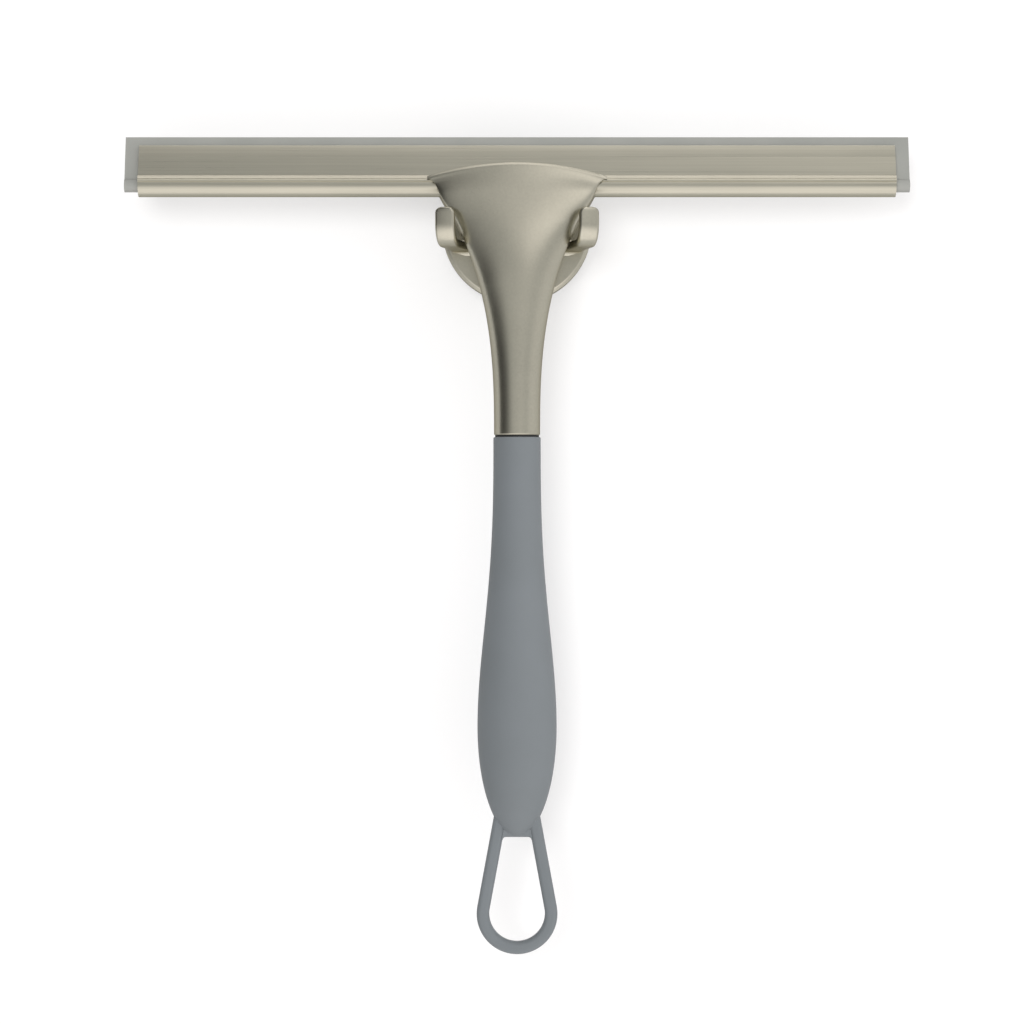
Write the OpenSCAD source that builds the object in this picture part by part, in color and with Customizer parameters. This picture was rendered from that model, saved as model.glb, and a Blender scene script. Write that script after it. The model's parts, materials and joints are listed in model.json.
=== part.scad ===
// Window cleaning squeegee with a cast fishtail neck, a soft grip and a hanging loop,
// resting in the two prongs of a suction hook. Millimetres, +Z up, +X to the right and
// -Y away from the wall. The origin is the centre of the suction cup's sealing face.

/* [Blade] */
// Length of the soft wiping blade
blade_len = 250; // [180:1:350]
// Height of the blade from the foot of its bead to the wiping edge
blade_h = 18.2; // [17.5:0.1:30]
// Thickness of the blade's flat part
blade_t = 2.4; // [1.6:0.1:2.6]
// Diameter of the round bead that locks the blade in its channel
bead_d = 4.3; // [3.4:0.1:4.6]

/* [Channel] */
// Length of the metal channel
channel_len = 241; // [150:1:340]
// Height of the channel section
channel_h = 16.5; // [15:0.1:17]
// Depth of the channel at its lip
lip_d = 4.6; // [4.4:0.1:6]
// Depth of the channel across its two ridges
ridge_d = 8.6; // [8.4:0.1:10]
// Wall of the rounded foot of the channel
channel_wall = 1.3; // [1:0.05:1.6]

/* [Neck] */
// Distance of the handle's axis from the wall
handle_y = 28; // [27:0.5:34]
// Backward lean of the head, in degrees
lean = 15; // [0:1:18]
// Depth of the point where the neck bends, below the middle of the hook
bend_drop = 10; // [4:0.5:16]
// Length of the neck below the bend
neck_len = 57.5; // [40:0.5:90]
// Width of the neck where it meets the grip
foot_w = 14.6; // [12:0.1:20]
// Front-to-back depth of the neck where it meets the grip
foot_d = 13.8; // [12.5:0.1:18]
// Width of the head at its shoulders
shoulder_w = 55; // [46:0.1:58]
// Front-to-back depth of the head
head_d = 15; // [14.5:0.1:16]
// Height of the channel's underside above the bend
channel_seat = 19.3; // [17:0.1:22]
// How sharply the neck flares out into the head
flare_power = 2.7; // [2.2:0.05:3]

/* [Lip of the head] */
// Width of the curved lip from tip to tip
lip_w = 57; // [54:0.1:64]
// How far the middle of the lip stands above its tips
lip_rise = 3.8; // [1:0.1:5]
// Height of the lip's crown above the channel's underside
lip_cover = 8.9; // [7:0.1:11]

/* [Grip] */
// Length of the soft grip
grip_len = 126.6; // [100:0.1:150]
// Width of the grip's swell
swell_w = 25.1; // [20:0.1:28]
// Front-to-back depth of the grip's swell
swell_d = 21; // [19.5:0.1:21.6]
// Length of the rounded end below the swell's widest point
swell_end = 34.8; // [25:0.1:45]
// Thickness of the soft skin over the rigid core
skin_t = 2; // [1.4:0.1:2.4]

/* [Hanging loop] */
// Outer radius of the loop's round end
loop_r = 12.8; // [9:0.1:16]
// Width of the loop's strand
strand_w = 4; // [3:0.1:5]
// Thickness of the loop from front to back
loop_t = 5; // [4:0.1:6]
// Distance from the grip's end down to the middle of the loop's round end
loop_drop = 24.2; // [16:0.1:32]

/* [Hook] */
// Diameter of the hook's round cap
cap_d = 48.4; // [46:0.1:60]
// Distance of the cap's front face from the wall
cap_front = 11; // [10.6:0.1:12]
// Wall of the cap
cap_wall = 2; // [1.5:0.1:2.2]
// Width of each prong
prong_w = 6.2; // [5:0.1:8]
// Thickness of each prong
prong_t = 2.6; // [2:0.1:3.2]
// How far the prongs reach past the handle's axis
prong_past = 7.6; // [7.4:0.1:12]
// Height of the prongs' tips above the middle of the cap
prong_top = 4.2; // [2:0.1:6]
// Depth of the prongs' seats below the middle of the cap
prong_seat = 5.4; // [4:0.1:7]
// Outward turn of each prong, in degrees
prong_splay = 12; // [6:1:14]

/* [Suction cup] */
// Diameter of the suction cup
cup_d = 45; // [40:0.5:46]
// Diameter of the stud that carries the hook
stud_d = 6; // [5:0.1:6.6]

/* [Fits] */
// Gap between the neck and the prongs that carry it
fork_gap = 0.4; // [0.2:0.05:0.6]
// Gap between the blade and the inside of its channel
blade_gap = 0.2; // [0.15:0.01:0.3]
// Radial running gap of the hook on its stud
stud_gap = 0.05; // [0.02:0.01:0.1]
// Thickness of the dark spacer between the neck and the grip
collar_t = 0.6; // [0.4:0.1:1.2]

/* [Hidden] */
$fn = 64;
eps = 0.01;
nickel = [0.72, 0.68, 0.62];
channel_metal = [0.74, 0.70, 0.64];
steel = [0.60, 0.60, 0.60];
rubber_grey = [0.61, 0.61, 0.59];
grip_grey = [0.50, 0.52, 0.53];
core_grey = [0.35, 0.36, 0.37];
dark = [0.16, 0.16, 0.15];
clear_grey = [0.78, 0.79, 0.78];

// ---- heights along the handle, measured downwards from the bend ----
bend_z = -bend_drop;
foot_z = bend_z - neck_len;
grip_top = foot_z - collar_t;
grip_end = grip_top - grip_len;
swell_z = grip_end + swell_end;
loop_z = grip_end - loop_drop;

// ---- the head's own frame: x across, y from front to back, z up the leaning head ----
bend_run = 10;
bend_r = lean > 0 ? bend_run / tan(lean / 2) : 0;
shoulder_s = channel_seat + 4.9;
pad_t = 1;
slot_floor = channel_seat - pad_t;
bead_z = channel_seat + channel_wall + blade_gap + bead_d / 2;
blade_top = bead_z - bead_d / 2 + blade_h;
slot_half = ridge_d / 2 + 0.2;
lip_top = channel_seat + lip_cover;
lip_tip_z = lip_top - lip_rise;
lip_bow = 1.4;

module head_frame() {
    translate([0, -handle_y, bend_z]) rotate([-lean, 0, 0]) children();
}

// Lays a section drawn as [depth, height] across the head, centred on x = 0.
module across(length) {
    translate([-length / 2, 0, 0]) rotate([90, 0, 90]) linear_extrude(length) children();
}

// Stands an outline drawn as [x, height] up in the head, from depth y0 to y1.
module standing(y0, y1) {
    translate([0, y1, 0]) rotate([90, 0, 0]) linear_extrude(y1 - y0) children();
}

// ---- closed skins through rings of points ----
function ring_faces(rings, n) = [
    for (i = [0 : rings - 2], j = [0 : n - 1], k = [0, 1])
        let (a = i * n + j, b = i * n + (j + 1) % n)
        k == 0 ? [a, b, a + n] : [b, b + n, a + n]
];

module skin(rings) {
    count = len(rings);
    n = len(rings[0]);
    points = [for (ring = rings, p = ring) p];
    low = [for (j = [n - 1 : -1 : 0]) j];
    high = [for (j = [0 : n - 1]) (count - 1) * n + j];
    polyhedron(points, concat(ring_faces(count, n), [low], [high]), convexity = 6);
}

function signed_power(v, p) = sign(v) * pow(abs(v), p);

// A rounded section: half width a, front depth f and back depth b, squarer as power grows.
function section(a, f, b, power, n) = [
    for (j = [0 : n - 1])
        let (t = -360 * j / n)
        [a * signed_power(cos(t), 2 / power), (sin(t) < 0 ? f : b) * signed_power(sin(t), 2 / power)]
];

// ---- suction cup and its stud ----
cup_rim = 7.5;
cup_knob = 5.2;
flange_back = 2.2;
flange_t = 1.4;
flange_r = stud_d / 2 + 3;
stud_tip = cap_front - cap_wall - 0.4;
groove_y = stud_tip - 1.8;
ring_wire = 0.5;

// Turns a section drawn as [radius, distance from the wall] about the hook's axis.
module on_wall() {
    rotate([90, 0, 0]) rotate_extrude($fn = 96) children();
}

module suction_cup() {
    rim = cup_d / 2;
    color(clear_grey)
    on_wall() difference() {
        polygon([[0, 1.2], [rim - cup_rim, 0], [rim, 0], [rim, 0.8], [rim - cup_rim, 2.6],
                 [9, 3.6], [7.5, cup_knob], [0, cup_knob]]);
        translate([0, flange_back]) square([flange_r, flange_t]);
        translate([0, flange_back]) square([stud_d / 2, cup_knob]);
    }
}

module cup_stud() {
    color(steel)
    on_wall() difference() {
        union() {
            translate([0, flange_back]) square([flange_r, flange_t]);
            translate([0, flange_back]) square([stud_d / 2, stud_tip - flange_back]);
        }
        translate([stud_d / 2, groove_y]) circle(r = ring_wire + stud_gap);
    }
}

// ---- snap socket inside the cap, with its wire ring ----
socket_back = cup_knob + 0.3;
socket_r = stud_d / 2 + 4.5;
socket_top = cap_front - cap_wall;
boss_wall = 1.6;

module snap_ring() {
    color(steel)
    on_wall() translate([stud_d / 2 + stud_gap, groove_y]) difference() {
        circle(r = ring_wire);
        translate([-ring_wire - eps, -ring_wire]) square([ring_wire - 0.1, 2 * ring_wire]);
    }
}

module snap_socket() {
    bore = stud_d / 2 + stud_gap;
    color(core_grey)
    on_wall() difference() {
        translate([bore, socket_back]) square([socket_r - bore, socket_top - socket_back]);
        translate([bore, groove_y]) circle(r = ring_wire);
    }
}

// ---- hook: a shallow cap with two splayed J-shaped prongs ----
cap_r = cap_d / 2;
cap_back = 4.5;
cap_bevel = 1.1;
prong_bend = 7;
prong_run = (handle_y + prong_past - cap_front) / cos(prong_splay);
// Half width that the splayed prongs must leave for the neck at the height of their seats:
// the widest reach of the neck's section, from its middle (u = 0) to its back (u = 1)
rest_s = bend_drop - prong_seat;
rest_turn = bend_turn(rest_s);
rest_half = max([for (u = [0 : 0.05 : 0.95])
    let (back = u * neck_depth(rest_s), s = rest_s + back * tan(rest_turn), n = neck_power(s))
    neck_half(s) * pow(1 - pow(u, n), 1 / n)
        + (handle_y + neck_spine(s)[0] + back * cos(rest_turn)) * tan(prong_splay)]);
prong_axis_x = rest_half + fork_gap + prong_w / 2 / cos(prong_splay)
    - (handle_y - cap_front) * tan(prong_splay);

// Side outline of a prong: [distance from the cap's face, height], a strip with one bend.
module prong_side() {
    under = -prong_seat - prong_t;
    inner = prong_bend - prong_t;
    bend_x = prong_run - prong_bend;
    translate([-1, under]) square([bend_x + 1, prong_t]);
    translate([prong_run - prong_t, under + prong_bend])
        square([prong_t, prong_top - under - prong_bend]);
    translate([bend_x, under + prong_bend]) intersection() {
        difference() {
            circle(r = prong_bend);
            circle(r = inner);
        }
        translate([0, -prong_bend]) square([prong_bend, prong_bend]);
    }
}

// Front outline of a prong, with its two upper corners rounded.
module prong_front() {
    corner = 2;
    half = prong_w / 2;
    low = -prong_seat - prong_t - 1;
    difference() {
        translate([-half, low]) square([prong_w, prong_top - low]);
        for (side = [-1, 1]) difference() {
            translate([side * (half - corner / 2) - corner / 2, prong_top - corner])
                square([corner, corner]);
            translate([side * (half - corner), prong_top - corner]) circle(r = corner);
        }
    }
}

module prong(side) {
    translate([side * prong_axis_x, -cap_front, 0]) rotate([0, 0, side * prong_splay])
    intersection() {
        translate([-prong_w / 2, 0, 0]) rotate([90, 0, 90])
            linear_extrude(prong_w) mirror([1, 0]) prong_side();
        translate([0, 2, 0]) rotate([90, 0, 0])
            linear_extrude(prong_run + 4) prong_front();
    }
}

module hook_plate() {
    color(nickel) {
        on_wall() difference() {
            polygon([[0, cap_back], [cap_r, cap_back], [cap_r, cap_front - cap_bevel],
                     [cap_r - cap_bevel, cap_front], [0, cap_front]]);
            translate([0, cap_back - eps])
                square([cap_r - cap_wall, cap_front - cap_wall - cap_back + eps]);
        }
        on_wall() translate([socket_r, socket_back + 0.5])
            square([boss_wall, socket_top - socket_back - 0.5 + eps]);
        for (side = [-1, 1]) prong(side);
    }
}

// ---- blade and channel ----
module blade_section() {
    translate([0, bead_z]) circle(d = bead_d);
    translate([-blade_t / 2, bead_z]) square([blade_t, blade_top - bead_z]);
}

module wiper_blade() {
    color(rubber_grey) head_frame() across(blade_len) blade_section();
}

// Outer outline of the channel: round foot, double ridge, flank and lip, the same on both faces.
module channel_outline() {
    foot_r = bead_d / 2 + blade_gap + channel_wall;
    ridge_low = 4.3;
    ridge_top = 6.5;
    crease_h = 12.2;
    flank = 3.3;
    crease = 3.05;
    half = [[ridge_d / 2 - 1, ridge_low - 1], [ridge_d / 2 - 0.1, ridge_low],
            [ridge_d / 2, ridge_low + 0.5], [ridge_d / 2 - 0.25, ridge_low + 1.1],
            [ridge_d / 2, ridge_low + 1.7], [ridge_d / 2 - 0.2, ridge_top],
            [flank, ridge_top + 0.3], [crease, crease_h], [lip_d / 2, channel_h - 0.2],
            [lip_d / 2 - 0.2, channel_h]];
    translate([0, channel_seat]) {
        translate([0, foot_r]) circle(r = foot_r);
        polygon(concat(half, [for (i = [len(half) - 1 : -1 : 0]) [-half[i][0], half[i][1]]]));
    }
}

module blade_channel() {
    slot = blade_t + 2 * blade_gap;
    color(channel_metal) head_frame() across(channel_len) difference() {
        channel_outline();
        translate([0, bead_z]) circle(r = bead_d / 2 + blade_gap);
        translate([-slot / 2, bead_z]) square([slot, blade_top]);
    }
}

module clamp_pad() {
    color(dark) head_frame() across(2 * neck_half(slot_floor) - 6) difference() {
        translate([-slot_half + 0.6, slot_floor]) square([2 * slot_half - 1.2, pad_t + 1.2]);
        channel_outline();
    }
}

// ---- neck: a foot that flares and bends back into the head ----
function neck_t(s) = max(0, (s + neck_len) / (shoulder_s + neck_len));
function neck_half(s) = foot_w / 2 + (shoulder_w - foot_w) / 2 * pow(neck_t(s), flare_power);
function neck_depth(s) = foot_d / 2 + (head_d - foot_d) / 2 * pow(neck_t(s), 2);
function neck_power(s) = 2 + 2.2 * pow(neck_t(s), 3);

function bend_turn(s) = lean * min(1, max(0, (s + bend_run) / (2 * bend_run)));
// Centre line of the neck: [depth, height] in the upright frame, s along it from the bend
function neck_spine(s) =
    s <= -bend_run || lean == 0 ? [-handle_y, bend_z + s]
    : s >= bend_run ? [-handle_y + s * sin(lean), bend_z + s * cos(lean)]
    : [-handle_y + bend_r * (1 - cos(bend_turn(s))), bend_z - bend_run + bend_r * sin(bend_turn(s))];

neck_sides = 40;
neck_rings = 22;
function neck_ring(s) =
    let (c = neck_spine(s), turn = bend_turn(s), d = neck_depth(s))
    [for (p = section(neck_half(s), d, d, neck_power(s), neck_sides))
        [p[0], c[0] + p[1] * cos(turn), c[1] - p[1] * sin(turn)]];

module neck_skin() {
    run = shoulder_s + neck_len;
    skin([for (i = [0 : neck_rings]) neck_ring(-neck_len + run * i / neck_rings)]);
}

// Front wall over the channel: an arched top edge, pointed tips and a small bow across.
module head_lip() {
    tip = lip_w / 2;
    half = shoulder_w / 2;
    arch_r = (tip * tip + lip_rise * lip_rise) / (2 * lip_rise);
    arch = asin(tip / arch_r);
    bow_r = (tip * tip + lip_bow * lip_bow) / (2 * lip_bow);
    low = slot_floor - 4;
    intersection() {
        standing(-head_d / 2, -slot_half) polygon(concat(
            [for (a = [-arch : arch / 12 : arch + eps])
                [arch_r * sin(a), lip_top - arch_r * (1 - cos(a))]],
            [[tip - 0.4, lip_tip_z - 0.9], [half, shoulder_s - 0.6], [neck_half(low), low],
             [-neck_half(low), low], [-half, shoulder_s - 0.6], [-tip + 0.4, lip_tip_z - 0.9]]));
        translate([0, bow_r - head_d / 2, low - 1])
            cylinder(r = bow_r, h = lip_top - low + 2, $fn = 200);
    }
}

screw_x = 12;
screw_z = 12;
screw_r = 1.5;
screw_bite = 5.5;
screw_spare = 0.5;
clamp_low = 8.5;
recess_w = 0.6;
recess_deep = 0.9;
tang_r = 2.5;
tang_grip = 16;
pin_r = 0.6;
pin_x = 3.8;
pin_len = 8;

module neck() {
    color(nickel)
    difference() {
        union() {
            neck_skin();
            head_frame() head_lip();
        }
        head_frame() {
            // slot that the channel lies in, open at the top and at both ends
            translate([-shoulder_w, -slot_half, slot_floor])
                cube([2 * shoulder_w, 2 * slot_half, 2 * channel_h]);
            // seat of the rear clamp
            translate([-shoulder_w, slot_half, clamp_low])
                cube([2 * shoulder_w, head_d, 2 * channel_h]);
            for (side = [-1, 1]) translate([side * screw_x, slot_half + eps, screw_z])
                rotate([90, 0, 0]) cylinder(r = screw_r, h = screw_bite + screw_spare + eps);
        }
        translate([0, -handle_y, foot_z - eps]) cylinder(r = tang_r, h = tang_grip + eps);
        for (side = [-1, 1]) translate([side * pin_x, -handle_y, foot_z - eps])
            cylinder(r = pin_r, h = pin_len / 2 + eps);
    }
}

// ---- rear clamp: a plate that closes the slot behind the channel ----
clamp_t = 2.4;
clamp_inset = 0.8;
clamp_top = lip_tip_z + 1;

module rear_clamp() {
    steps = 10;
    run = shoulder_s - clamp_low;
    side_points = [for (i = [0 : steps])
        let (s = clamp_low + run * i / steps) [neck_half(s) - clamp_inset, s]];
    color(nickel) head_frame() difference() {
        standing(slot_half, slot_half + clamp_t) polygon(concat(side_points,
            [[shoulder_w / 2 - 2, clamp_top], [-shoulder_w / 2 + 2, clamp_top]],
            [for (i = [steps : -1 : 0]) [-side_points[i][0], side_points[i][1]]]));
        for (side = [-1, 1]) translate([side * screw_x, slot_half - eps, screw_z])
            rotate([-90, 0, 0]) {
                cylinder(r = screw_r, h = clamp_t + 1);
                translate([0, 0, clamp_t - screw_r + eps])
                    cylinder(r1 = screw_r, r2 = 2 * screw_r, h = screw_r);
            }
    }
}

module clamp_screws() {
    color(steel) head_frame() for (side = [-1, 1])
        translate([side * screw_x, slot_half + clamp_t, screw_z]) rotate([90, 0, 0]) difference() {
            union() {
                cylinder(r = screw_r, h = clamp_t + screw_bite);
                cylinder(r1 = 2 * screw_r, r2 = screw_r, h = screw_r);
            }
            for (turn = [0, 90]) rotate([0, 0, turn])
                translate([-screw_r, -recess_w / 2, -eps]) cube([2 * screw_r, recess_w, recess_deep]);
        }
}

// ---- rod, washer and nut that draw the grip up against the neck ----
rod_below = 92;
rod_end = grip_top - rod_below;
nut_flat = 8;
nut_t = 4;
washer_t = 1;
washer_r = 5;
well_r = washer_r + 0.1;
thread_past_nut = 1.5;
washer_z = rod_end + thread_past_nut + nut_t;
core_end = grip_end + 14.6;

module tang_rod() {
    color(steel) translate([0, -handle_y, rod_end])
        cylinder(r = tang_r, h = foot_z + tang_grip - rod_end);
}

module tang_washer() {
    color(steel) translate([0, -handle_y, washer_z]) difference() {
        cylinder(r = washer_r, h = washer_t);
        translate([0, 0, -1]) cylinder(r = tang_r, h = washer_t + 2);
    }
}

module tang_nut() {
    color(steel) translate([0, -handle_y, washer_z - nut_t]) difference() {
        cylinder(r = nut_flat / 2 / cos(30), h = nut_t, $fn = 6);
        translate([0, 0, -1]) cylinder(r = tang_r, h = nut_t + 2);
    }
}

module index_pins() {
    color(steel) for (side = [-1, 1])
        translate([side * pin_x, -handle_y, foot_z - pin_len / 2]) cylinder(r = pin_r, h = pin_len);
}

module neck_collar() {
    inset = 0.35;
    color(dark) translate([0, -handle_y, grip_top]) difference() {
        linear_extrude(collar_t)
            polygon(section(foot_w / 2 - inset, foot_d / 2 - inset, foot_d / 2 - inset, 2, neck_sides));
        translate([0, 0, -1]) cylinder(r = tang_r, h = collar_t + 2);
        for (side = [-1, 1]) translate([side * pin_x, 0, -1]) cylinder(r = pin_r, h = collar_t + 2);
    }
}

// ---- grip: a slim top that swells and ends in a half ellipse ----
grip_w = foot_w + 0.4;
grip_d = foot_d + 0.4;
grip_edge = 0.4;
function swell(z) = z < swell_z
    ? sqrt(max(0, 1 - pow((swell_z - z) / swell_end, 2)))
    : (1 - cos(180 * pow((grip_top - z) / (grip_top - swell_z), 1.45))) / 2;
function grip_half(z, top, widest) = z < swell_z
    ? widest / 2 * swell(z)
    : top / 2 + (widest - top) / 2 * swell(z);

module grip_body() {
    rows = 20;
    caps = 9;
    upper = [for (i = [rows : -1 : 1]) grip_top - grip_edge - (grip_top - grip_edge - swell_z) * i / rows];
    lower = [for (i = [caps : -1 : 1]) swell_z - swell_end * sin(88 * i / caps)];
    translate([0, -handle_y, 0]) skin(concat(
        [for (z = concat(lower, upper, [grip_top - grip_edge]))
            [for (p = section(grip_half(z, grip_w, swell_w), grip_half(z, grip_d, swell_d),
                              grip_half(z, grip_d, swell_d), 2, neck_sides))
                [p[0], p[1], z]]],
        [[for (p = section(grip_w / 2 - grip_edge, grip_d / 2 - grip_edge,
                           grip_d / 2 - grip_edge, 2, neck_sides)) [p[0], p[1], grip_top]]]));
}

module core_body() {
    steps = 16;
    run = grip_top - core_end;
    translate([0, -handle_y, 0]) rotate_extrude() polygon(concat([[0, core_end]],
        [for (i = [0 : steps]) let (z = core_end + run * i / steps)
            [grip_half(z, grip_d, swell_d) - skin_t, z]], [[0, grip_top]]));
}

loop_pin_r = 1.25;
loop_pin_z = core_end + 6;
loop_tang = 4;
loop_tang_top = core_end + 18;

module handle_core() {
    color(core_grey) difference() {
        core_body();
        translate([0, -handle_y, core_end - 1]) cylinder(r = well_r, h = washer_z + washer_t - core_end + 1);
        translate([0, -handle_y, core_end]) cylinder(r = tang_r, h = grip_top - core_end + 1);
        for (side = [-1, 1]) translate([side * pin_x, -handle_y, foot_z - pin_len / 2])
            cylinder(r = pin_r, h = pin_len);
        loop_pin_shape();
    }
}

module grip_sleeve() {
    color(grip_grey) difference() {
        grip_body();
        core_body();
        loop_plate(loop_t);
    }
}

// ---- hanging loop with the flat tang that is pinned inside the core ----
strand_in = core_end;
strand_top = grip_end + 2.2;
loop_neck = 5.9;

// Angle at which a side line from (px, pz) touches a circle of radius r about the origin
function touch_angle(r, px, pz) = atan2(pz, px) - acos(r / norm([px, pz]));

// A drop: a round end about the origin, with straight sides rising to half width x at height z.
function drop_points(r, x, z, steps) =
    let (a = touch_angle(r, x, z))
    concat([[-x, z]], [for (i = [0 : steps])
        let (t = 180 - a + (180 + 2 * a) * i / steps) [r * cos(t), r * sin(t)]], [[x, z]]);

module loop_outline() {
    inner = loop_r - strand_w;
    top = strand_in - loop_z;
    a = touch_angle(loop_r, loop_neck, top);
    window_top = strand_top - loop_z;
    // the window's sides run parallel to the outline's, one strand inside
    window_x = loop_neck + (top - window_top) * tan(a) - strand_w / cos(a);
    corner = 1;
    difference() {
        polygon(drop_points(loop_r, loop_neck, top, 48));
        difference() {
            polygon(drop_points(inner, window_x, window_top, 40));
            for (flip = [0, 1]) mirror([flip, 0]) difference() {
                translate([window_x - corner, window_top - corner]) square(2 * corner);
                translate([window_x - corner, window_top - corner]) circle(r = corner);
            }
        }
    }
}

module loop_plate(thick) {
    translate([0, -handle_y + thick / 2, loop_z]) rotate([90, 0, 0])
        linear_extrude(thick) loop_outline();
}

module loop_pin_shape() {
    reach = grip_half(loop_pin_z, grip_d, swell_d) - skin_t - 0.2;
    translate([0, -handle_y + reach, loop_pin_z]) rotate([90, 0, 0])
        cylinder(r = loop_pin_r, h = 2 * reach);
}

module hang_loop() {
    tang_t = loop_t - 0.6;
    color(grip_grey) difference() {
        union() {
            loop_plate(loop_t);
            translate([-loop_tang, -handle_y - tang_t / 2, strand_in - 2])
                cube([2 * loop_tang, tang_t, loop_tang_top - strand_in + 2]);
        }
        loop_pin_shape();
    }
}

module loop_pin() {
    color(steel) loop_pin_shape();
}

suction_cup();
cup_stud();
snap_ring();
snap_socket();
hook_plate();
wiper_blade();
blade_channel();
clamp_pad();
neck();
rear_clamp();
clamp_screws();
neck_collar();
tang_rod();
tang_washer();
tang_nut();
index_pins();
handle_core();
grip_sleeve();
hang_loop();
loop_pin();
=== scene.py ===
# %% [markdown]
# # A window squeegee on its suction hook
#
# The imported model gives every piece its place: the cup's sealing face is the origin, +Z runs up
# the hanging squeegee and -Y points away from the wall. The frame is loaded first, and the boxes
# of its parts give the finished looks their sizes. The finished looks have to stay inside it.

# %% Load the frame
import json
import math

import bmesh
import bpy
import numpy as np
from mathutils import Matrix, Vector


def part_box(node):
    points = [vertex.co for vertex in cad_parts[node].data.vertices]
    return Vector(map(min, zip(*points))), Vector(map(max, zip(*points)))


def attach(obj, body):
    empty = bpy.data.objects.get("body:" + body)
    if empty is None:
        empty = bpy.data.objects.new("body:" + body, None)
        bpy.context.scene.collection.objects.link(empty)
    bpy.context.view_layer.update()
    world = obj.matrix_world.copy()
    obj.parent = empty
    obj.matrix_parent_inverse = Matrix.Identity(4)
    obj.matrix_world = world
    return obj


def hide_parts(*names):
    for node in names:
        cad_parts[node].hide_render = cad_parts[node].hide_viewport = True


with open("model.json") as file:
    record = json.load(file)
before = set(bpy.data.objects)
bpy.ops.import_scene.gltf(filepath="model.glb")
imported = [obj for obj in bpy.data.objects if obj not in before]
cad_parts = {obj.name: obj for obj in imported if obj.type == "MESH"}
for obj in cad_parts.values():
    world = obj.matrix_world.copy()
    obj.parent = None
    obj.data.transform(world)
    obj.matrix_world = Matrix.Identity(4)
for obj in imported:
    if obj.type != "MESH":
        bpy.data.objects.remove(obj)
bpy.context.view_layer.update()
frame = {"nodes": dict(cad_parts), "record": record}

SCENE = bpy.context.scene
MM = 0.001

# %% [markdown]
# ## Camera
#
# A product of this kind is shot straight on with a long lens, so that its sides stay nearly
# parallel. The lens is worked out from how much of the handle's plane has to fill the frame.

# %% Camera
rod_low, rod_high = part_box("tang_rod")
HANDLE_Y = (rod_low.y + rod_high.y) / 2 / MM
SHOT_DISTANCE = 1000
SHOT_WIDTH = 324.3
SHOT_AIM = (-1.6, -91.8)
SENSOR = 36

lens = bpy.data.cameras.new("shot")
lens.sensor_width = SENSOR
lens.lens = SENSOR * SHOT_DISTANCE / SHOT_WIDTH
camera = bpy.data.objects.new("shot", lens)
camera.location = Vector((SHOT_AIM[0], HANDLE_Y - SHOT_DISTANCE, SHOT_AIM[1])) * MM
camera.rotation_euler = (math.pi / 2, 0, 0)
SCENE.collection.objects.link(camera)
SCENE.camera = camera
SCENE.view_settings.view_transform = "Standard"
print("lens", round(lens.lens, 1))

# %% [markdown]
# ## Shader maths as expressions
#
# Node trees are long to wire by hand. `Value` wraps an output socket, so that an ordinary
# expression such as `1 - mask * 0.4` adds the Math nodes itself, and `Finish.node` makes every
# other node from its type, its settings and the values or links of its sockets.

# %% Expression helper
class Value:
    def __init__(self, finish, socket):
        self.finish, self.socket = finish, socket

    def maths(self, operation, first, second):
        return self.finish.node("ShaderNodeMath", {"operation": operation}, {0: first, 1: second})

    def __add__(self, other):
        return self.maths("ADD", self, other)

    def __sub__(self, other):
        return self.maths("SUBTRACT", self, other)

    def __rsub__(self, other):
        return self.maths("SUBTRACT", other, self)

    def __mul__(self, other):
        return self.maths("MULTIPLY", self, other)

    __radd__ = __add__
    __rmul__ = __mul__


class Finish:
    def __init__(self, tree):
        self.tree = tree
        tree.nodes.clear()

    def node(self, kind, settings=None, inputs=None, out=0):
        made = self.tree.nodes.new(kind)
        for key, value in (settings or {}).items():
            if key == "stops":
                self.set_stops(made.color_ramp, value)
            else:
                setattr(made, key, value)
        for key, value in (inputs or {}).items():
            if isinstance(value, Value):
                self.tree.links.new(value.socket, made.inputs[key])
            else:
                made.inputs[key].default_value = value
        return Value(self, made.outputs[out]) if made.outputs else made

    @staticmethod
    def set_stops(ramp, stops):
        while len(ramp.elements) < len(stops):
            ramp.elements.new(0.5)
        for element, (place, colour) in zip(ramp.elements, stops):
            element.position = place
            element.color = (*colour, 1)

    def ease(self, value, low, high, start=0.0, end=1.0):
        return self.node(
            "ShaderNodeMapRange", {"interpolation_type": "SMOOTHSTEP"},
            {"Value": value, "From Min": low, "From Max": high, "To Min": start, "To Max": end})


def linear(red, green, blue):
    """A colour given in screen steps of 0 to 255, as the shader wants it."""
    steps = np.array([red, green, blue]) / 255
    return tuple(np.where(steps <= 0.04045, steps / 12.92, ((steps + 0.055) / 1.055) ** 2.4))


# %% [markdown]
# ## Light and the wall
#
# The suction cup needs something to stick to, so the backdrop is a wall at the sealing face. Its
# back is transparent, which keeps the squeegee in view from behind. Metal shows its
# surroundings, so the world is a plain softbox room: a light front, a bright panel high on the
# right, a dim left side and a pale floor. The camera sees it as clean white. A broad key sun
# throws the soft shadow down to the right, a weak one from the right lifts the grip's far side,
# and one lights the back. Metal mirrors the room and not these lamps.

# %% World
ROOM = 0.57
GLOW_TINT = (1.03, 0.96, 0.95)
world = bpy.data.worlds.new("room")
world.use_nodes = True
SCENE.world = world
room = Finish(world.node_tree)
direction = Value(room, room.node("ShaderNodeTexCoord").socket.node.outputs["Generated"])


def towards(x, y, z):
    """How far a direction points towards (x, y, z), from -1 to 1."""
    aim = tuple(Vector((x, y, z)).normalized())
    return room.node("ShaderNodeVectorMath", {"operation": "DOT_PRODUCT"},
                     {0: direction, 1: aim}, out=1)


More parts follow.
